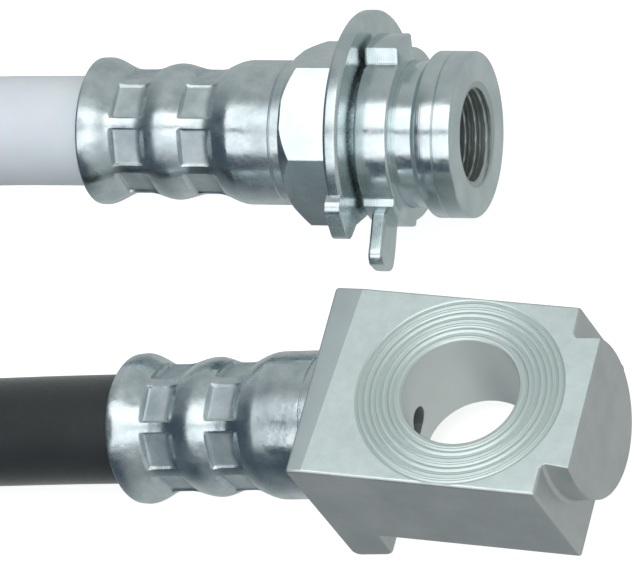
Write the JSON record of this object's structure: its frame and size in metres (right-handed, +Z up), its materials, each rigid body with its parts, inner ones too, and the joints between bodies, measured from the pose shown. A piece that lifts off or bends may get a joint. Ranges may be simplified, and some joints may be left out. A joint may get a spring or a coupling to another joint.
{
  "type": "brake hose",
  "caption": "Flexible brake hose, a banjo block with a ring-grooved bolt bore at one end and a threaded hexagon female end with a locating plate at the other.",
  "frame": {"origin": "on the ground, under the middle of the box round the two metal ends, the hose left out", "axes": "+X along the block's hose axis on the ground, towards its free end; +Z up; the female end lies on the +Y side"},
  "size_m": [0.2173, 0.1092, 0.0233],
  "materials": {
    "banjo_block": "matte tumbled zinc plate",
    "ferrule": "bright zinc plate",
    "female_end": "bright zinc plate",
    "locating_plate": "zinc plated sheet",
    "stem": "plain steel tube",
    "hose": "satin black",
    "sleeve": "bluish white, satin"
  },
  "bodies": {
    "root": {"banjo_block": "banjo_block", "block_end_ferrule": "ferrule", "block_end_stem": "stem", "female_end_body": "female_end", "female_end_ferrule": "ferrule", "female_end_stem": "stem", "tab_ring": "female_end", "locating_plate": "locating_plate", "brake_hose": "hose", "hose_sleeve": "sleeve"}
  },
  "joints": []
}
